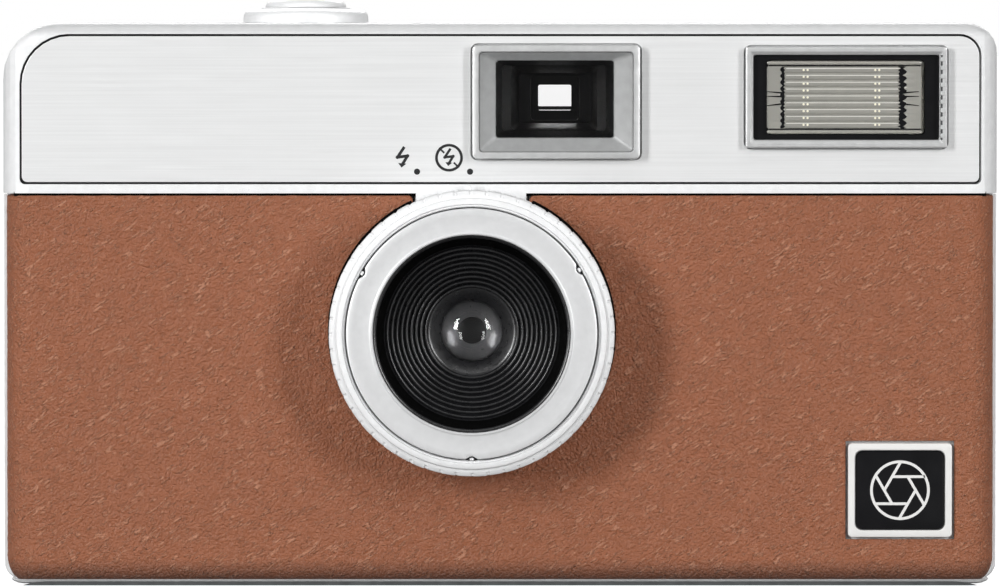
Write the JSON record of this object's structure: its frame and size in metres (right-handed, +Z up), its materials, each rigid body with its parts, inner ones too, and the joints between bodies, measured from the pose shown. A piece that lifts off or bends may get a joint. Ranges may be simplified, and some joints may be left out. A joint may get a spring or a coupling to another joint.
{
  "type": "half frame camera",
  "caption": "Compact 35 mm half frame camera with a fixed lens, built-in flash, thumbwheel advance, hinged back and fold-out rewind crank.",
  "frame": {"origin": "middle of the footprint, on the surface the camera stands on", "axes": "+Z up, the lens looks along -Y, and +X is to the right when the camera is seen from the front"},
  "size_m": [0.11, 0.039, 0.0654],
  "materials": {
    "silver_paint": "silver painted ABS with a fine texture",
    "brushed_aluminium": "brushed along its length",
    "chrome": "polished",
    "brown_leatherette": "grained leatherette",
    "black_moulding": "moulded, low gloss",
    "gloss_black": "gloss",
    "spring_steel": "bright",
    "brass": "plain",
    "clear_plastic": "clear acrylic",
    "flash_diffuser": "ribbed translucent",
    "white_plastic": "printed numerals",
    "amber_lamp": "clear amber",
    "circuit_board": "solder mask",
    "seal_foam": "foam"
  },
  "bodies": {
    "camera": {"aperture_plate": "black_moulding", "badge_frame": "chrome", "badge_inlay": "gloss_black", "base_screw_left": "spring_steel", "base_screw_right": "spring_steel", "battery_contact_top": "brass", "button_collar": "silver_paint", "button_spring": "spring_steel", "counter_window": "clear_plastic", "door_hinge_pin": "spring_steel", "eyepiece_frame": "black_moulding", "eyepiece_lens": "clear_plastic", "face_plate": "brushed_aluminium", "flash_board": "circuit_board", "flash_capacitor": "black_moulding", "flash_frame": "silver_paint", "flash_lens": "flash_diffuser", "flash_reflector": "chrome", "flash_transformer": "brass", "flash_tube": "clear_plastic", "front_cover": "silver_paint", "front_element": "clear_plastic", "front_leather": "brown_leatherette", "lens_barrel": "black_moulding", "lens_cone": "black_moulding", "lens_trim_ring": "silver_paint", "light_seal": "seal_foam", "main_chassis": "black_moulding", "ready_lamp": "amber_lamp", "rear_element": "clear_plastic", "rear_element_holder": "black_moulding", "shutter_plate": "black_moulding", "side_screw_left": "spring_steel", "side_screw_right": "spring_steel", "strap_bar": "spring_steel", "top_cover": "silver_paint", "viewfinder_bezel": "silver_paint", "viewfinder_front_lens": "clear_plastic", "viewfinder_tunnel": "black_moulding"},
    "door": {"back_door": "black_moulding", "back_leather": "brown_leatherette", "pressure_spring": "spring_steel"},
    "film_pad": {"pressure_plate": "spring_steel"},
    "latch": {"door_latch": "silver_paint"},
    "battery_cover": {"battery_door": "silver_paint", "battery_contact_spring": "brass"},
    "flash_switch": {"flash_switch_ring": "silver_paint"},
    "release": {"shutter_button": "silver_paint"},
    "release_rocker": {"release_lever": "brass"},
    "blade": {"shutter_blade": "spring_steel"},
    "winder": {"advance_wheel": "black_moulding", "take_up_spool": "black_moulding"},
    "sprocket": {"film_sprocket": "black_moulding"},
    "counter": {"counter_dial": "white_plastic"},
    "rewinder": {"rewind_base": "silver_paint", "rewind_fork": "black_moulding"},
    "rewind_crank": {"rewind_handle": "chrome"},
    "rewind_button": {"rewind_release": "silver_paint"}
  },
  "joints": [
    {"name": "back_door_hinge", "type": "hinge", "parent": "camera", "child": "door", "pos_m": [-0.0514, 0.0178, 0.0264], "axis": [0, 0, 1], "range_deg": [0, 105]},
    {"name": "film_pad_slide", "type": "slide", "parent": "door", "child": "film_pad", "axis": [0, 1, 0], "range_m": [0, 0.0006], "stiffness_N_per_m": 600},
    {"name": "door_latch_slide", "type": "slide", "parent": "camera", "child": "latch", "axis": [0, 0, 1], "range_m": [0, 0.003], "stiffness_N_per_m": 150},
    {"name": "battery_door_hinge", "type": "hinge", "parent": "camera", "child": "battery_cover", "pos_m": [-0.0224, 0.0044, 0.00075], "axis": [1, 0, 0], "range_deg": [0, 95]},
    {"name": "flash_switch_turn", "type": "hinge", "parent": "camera", "child": "flash_switch", "pos_m": [-0.0031, -0.015, 0.028], "axis": [0, -1, 0], "range_deg": [0, 19]},
    {"name": "shutter_button_press", "type": "slide", "parent": "camera", "child": "release", "axis": [0, 0, -1], "range_m": [0, 0.0016], "stiffness_N_per_m": 400, "deforming": ["button_spring"]},
    {"name": "release_lever_rock", "type": "hinge", "parent": "camera", "child": "release_rocker", "pos_m": [-0.0142, 0.0041, 0.051], "axis": [0, -1, 0], "range_deg": [0, 12]},
    {"name": "shutter_blade_swing", "type": "hinge", "parent": "camera", "child": "blade", "pos_m": [0.0054, -0.00775, 0.0355], "axis": [0, 1, 0], "range_deg": [0, 38], "stiffness_Nm_per_rad": 0.002},
    {"name": "winder_turn", "type": "hinge", "parent": "camera", "child": "winder", "pos_m": [-0.0385, 0.006, 0.055], "axis": [0, 0, 1], "continuous": true},
    {"name": "sprocket_turn", "type": "hinge", "parent": "camera", "child": "sprocket", "pos_m": [-0.0215, 0.0088, 0.025], "axis": [0, 0, 1], "continuous": true},
    {"name": "counter_turn", "type": "hinge", "parent": "camera", "child": "counter", "pos_m": [-0.0385, 0.006, 0.0588], "axis": [0, 0, 1], "continuous": true},
    {"name": "rewind_turn", "type": "hinge", "parent": "camera", "child": "rewinder", "pos_m": [0.0364, 0.0047, 0.0013], "axis": [0, 0, 1], "continuous": true},
    {"name": "rewind_handle_fold", "type": "hinge", "parent": "rewinder", "child": "rewind_crank", "pos_m": [0.029, 0.0047, 0.0008], "axis": [0, 1, 0], "range_deg": [0, 140]},
    {"name": "rewind_release_press", "type": "slide", "parent": "camera", "child": "rewind_button", "axis": [0, 0, 1], "range_m": [0, 0.0008], "stiffness_N_per_m": 200}
  ],
  "couplings": [
    {"joint": "release_lever_rock", "follows": "shutter_button_press", "rad_per_m": 122},
    {"joint": "sprocket_turn", "follows": "winder_turn", "ratio": 1.44},
    {"joint": "counter_turn", "follows": "winder_turn", "ratio": 0.04}
  ]
}
